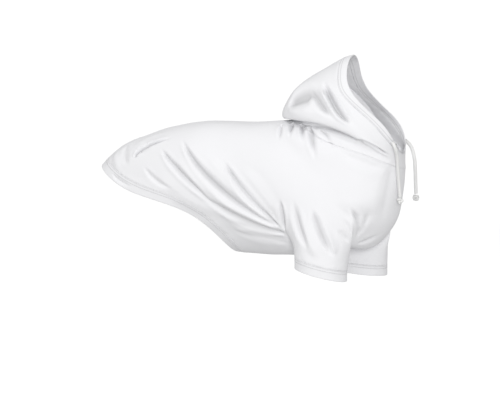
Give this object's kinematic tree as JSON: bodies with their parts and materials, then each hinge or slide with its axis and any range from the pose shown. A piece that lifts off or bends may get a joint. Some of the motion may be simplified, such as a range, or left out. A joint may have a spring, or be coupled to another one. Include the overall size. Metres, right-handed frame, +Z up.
{
  "type": "dog hoodie",
  "caption": "Pullover hoodie for a small dog in worn form: long back, hem rising under the belly, short sleeves with cuffs, a raised hood with an open face, and knotted drawcord ends",
  "frame": {"origin": "on the inner face of the back panel, on the middle line over the withers, where the garment rests on the back of the dog that wears it", "axes": "+X from the tail end to the head, -Y to the near side with the nearer sleeve, +Z up"},
  "size_m": [0.4079, 0.1461, 0.2775],
  "materials": {
    "jersey": "matt brushed knit",
    "folded_jersey": "matt knit, doubled and topstitched",
    "knitted_cord": "matt knitted cord"
  },
  "bodies": {
    "root": {"body": "jersey", "hood": "jersey", "near_sleeve": "jersey", "far_sleeve": "jersey", "hem_band": "folded_jersey", "hood_casing": "folded_jersey", "near_cuff": "folded_jersey", "far_cuff": "folded_jersey", "near_drawcord": "knitted_cord", "near_knot": "knitted_cord", "far_drawcord": "knitted_cord", "far_knot": "knitted_cord"}
  },
  "joints": []
}
